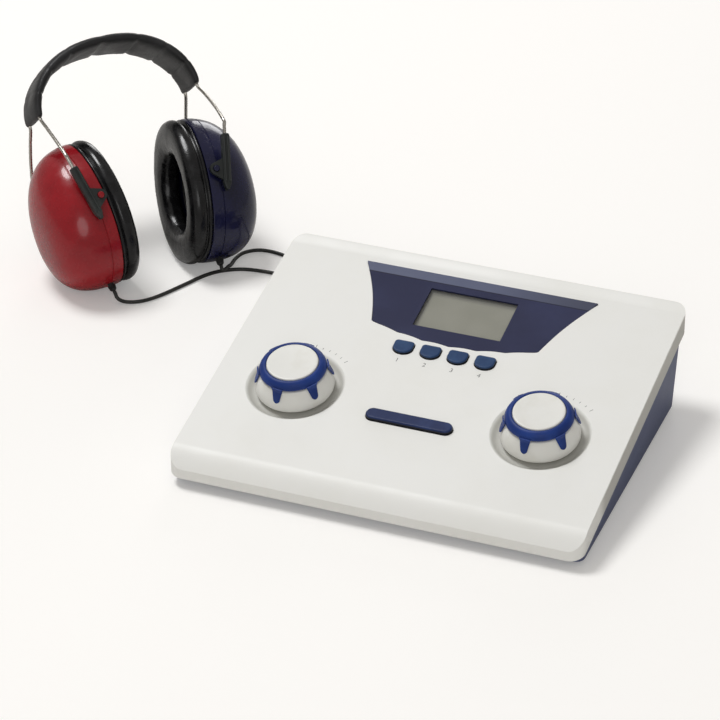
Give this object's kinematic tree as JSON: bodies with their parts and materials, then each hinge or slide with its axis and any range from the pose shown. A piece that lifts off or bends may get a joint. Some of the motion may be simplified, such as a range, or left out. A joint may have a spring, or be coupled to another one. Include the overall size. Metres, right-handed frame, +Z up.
{
  "type": "screening audiometer",
  "caption": "Tabletop hearing screener: wedge console with display, keys and two dials, and a wire-band headset with red and blue ear cups on cords.",
  "frame": {"origin": "centre of the bounding box of the console and headset, on the table", "axes": "+Z up, +Y from the console's front edge to its rear wall, +X to the console's right"},
  "size_m": [0.4718, 0.328, 0.1429],
  "materials": {
    "cover_white": "fine-textured warm white moulding",
    "base_blue_grey": "blue-grey moulding",
    "bezel_navy": "dark navy frame with a lighter edge",
    "display_grey": "grey-green display",
    "display_window": "clear window",
    "board_green": "green circuit board",
    "button_blue": "blue keys",
    "bar_navy": "dark blue wide key",
    "dial_white": "off-white dial",
    "dial_blue": "blue grip ring",
    "shaft_steel": "bright steel",
    "part_black": "black moulding",
    "foot_rubber": "black rubber",
    "cup_red": "glossy deep red",
    "cup_blue": "glossy midnight blue",
    "cushion_black": "soft black cushion skin",
    "pad_leather": "black leatherette with welded ribs",
    "guide_grey": "dark grey moulding",
    "cord_grey": "dark grey cord skin"
  },
  "bodies": {
    "console": {"top_cover": "cover_white", "base_tray": "base_blue_grey", "display_bezel": "bezel_navy", "display_lens": "display_window", "lcd_module": "display_grey", "main_board": "board_green", "tone_switch": "part_black", "level_encoder": "part_black", "frequency_encoder": "part_black", "right_phone_socket": "part_black", "left_phone_socket": "part_black", "response_socket": "part_black", "power_socket": "part_black", "foot_1": "foot_rubber", "foot_2": "foot_rubber", "foot_3": "foot_rubber", "foot_4": "foot_rubber", "case_screw_1": "shaft_steel", "case_screw_2": "shaft_steel", "case_screw_3": "shaft_steel", "case_screw_4": "shaft_steel", "right_cord_run": "cord_grey", "right_cord_coil": "cord_grey", "right_cord_tail": "cord_grey", "right_cord_plug": "part_black", "left_cord_run": "cord_grey", "left_cord_coil": "cord_grey", "left_cord_tail": "cord_grey", "left_cord_plug": "part_black"},
    "level_dial": {"level_knob": "dial_white", "level_grip_ring": "dial_blue", "level_knob_cap": "dial_white", "level_shaft": "shaft_steel"},
    "frequency_dial": {"frequency_knob": "dial_white", "frequency_grip_ring": "dial_blue", "frequency_knob_cap": "dial_white", "frequency_shaft": "shaft_steel"},
    "function_button_1": {"function_button_1": "button_blue"},
    "function_button_2": {"function_button_2": "button_blue"},
    "function_button_3": {"function_button_3": "button_blue"},
    "function_button_4": {"function_button_4": "button_blue"},
    "tone_bar": {"tone_bar": "bar_navy"},
    "headband": {"headband_pad": "pad_leather", "front_band_wire": "shaft_steel", "rear_band_wire": "shaft_steel"},
    "right_guides": {"right_front_guide": "guide_grey", "right_rear_guide": "guide_grey"},
    "left_guides": {"left_front_guide": "guide_grey", "left_rear_guide": "guide_grey"},
    "right_cup": {"right_cup_shell": "cup_red", "right_ear_cushion": "cushion_black", "right_earphone": "part_black", "right_cord_gland": "part_black"},
    "left_cup": {"left_cup_shell": "cup_blue", "left_ear_cushion": "cushion_black", "left_earphone": "part_black", "left_cord_gland": "part_black"}
  },
  "joints": [
    {"name": "level_dial_turn", "type": "hinge", "parent": "console", "child": "level_dial", "pos_m": [0.02753, -0.08639, 0.03771], "axis": [0, -0.2224, 0.9749], "continuous": true},
    {"name": "frequency_dial_turn", "type": "hinge", "parent": "console", "child": "frequency_dial", "pos_m": [0.18432, -0.08639, 0.03771], "axis": [0, -0.2224, 0.9749], "continuous": true},
    {"name": "button_1_press", "type": "slide", "parent": "console", "child": "function_button_1", "axis": [0, 0.2224, -0.9749], "range_m": [0, 0.0012], "stiffness_N_per_m": 800, "springref_m": -0.0005},
    {"name": "button_2_press", "type": "slide", "parent": "console", "child": "function_button_2", "axis": [0, 0.2224, -0.9749], "range_m": [0, 0.0012], "stiffness_N_per_m": 800, "springref_m": -0.0005},
    {"name": "button_3_press", "type": "slide", "parent": "console", "child": "function_button_3", "axis": [0, 0.2224, -0.9749], "range_m": [0, 0.0012], "stiffness_N_per_m": 800, "springref_m": -0.0005},
    {"name": "button_4_press", "type": "slide", "parent": "console", "child": "function_button_4", "axis": [0, 0.2224, -0.9749], "range_m": [0, 0.0012], "stiffness_N_per_m": 800, "springref_m": -0.0005},
    {"name": "tone_bar_press", "type": "slide", "parent": "console", "child": "tone_bar", "axis": [0, 0.2224, -0.9749], "range_m": [0, 0.0016], "stiffness_N_per_m": 800, "springref_m": -0.0005},
    {"name": "headset_lift", "type": "slide", "parent": "console", "child": "headband", "axis": [0, 0, 1], "range_m": [0, 0.1]},
    {"name": "right_cup_adjust", "type": "slide", "parent": "headband", "child": "right_guides", "axis": [-0.6157, 0.2288, 0.7541], "range_m": [0, 0.008]},
    {"name": "right_cup_tilt", "type": "hinge", "parent": "right_guides", "child": "right_cup", "pos_m": [-0.15631, 0.02983, 0.07518], "axis": [-0.5775, 0.52, -0.6293], "range_deg": [-8, 8]},
    {"name": "left_cup_adjust", "type": "slide", "parent": "headband", "child": "left_guides", "axis": [-0.2919, 0.5884, 0.7541], "range_m": [0, 0.008]},
    {"name": "left_cup_tilt", "type": "hinge", "parent": "left_guides", "child": "left_cup", "pos_m": [-0.10144, 0.09077, 0.07518], "axis": [-0.5775, 0.52, -0.6293], "range_deg": [-8, 8]}
  ]
}
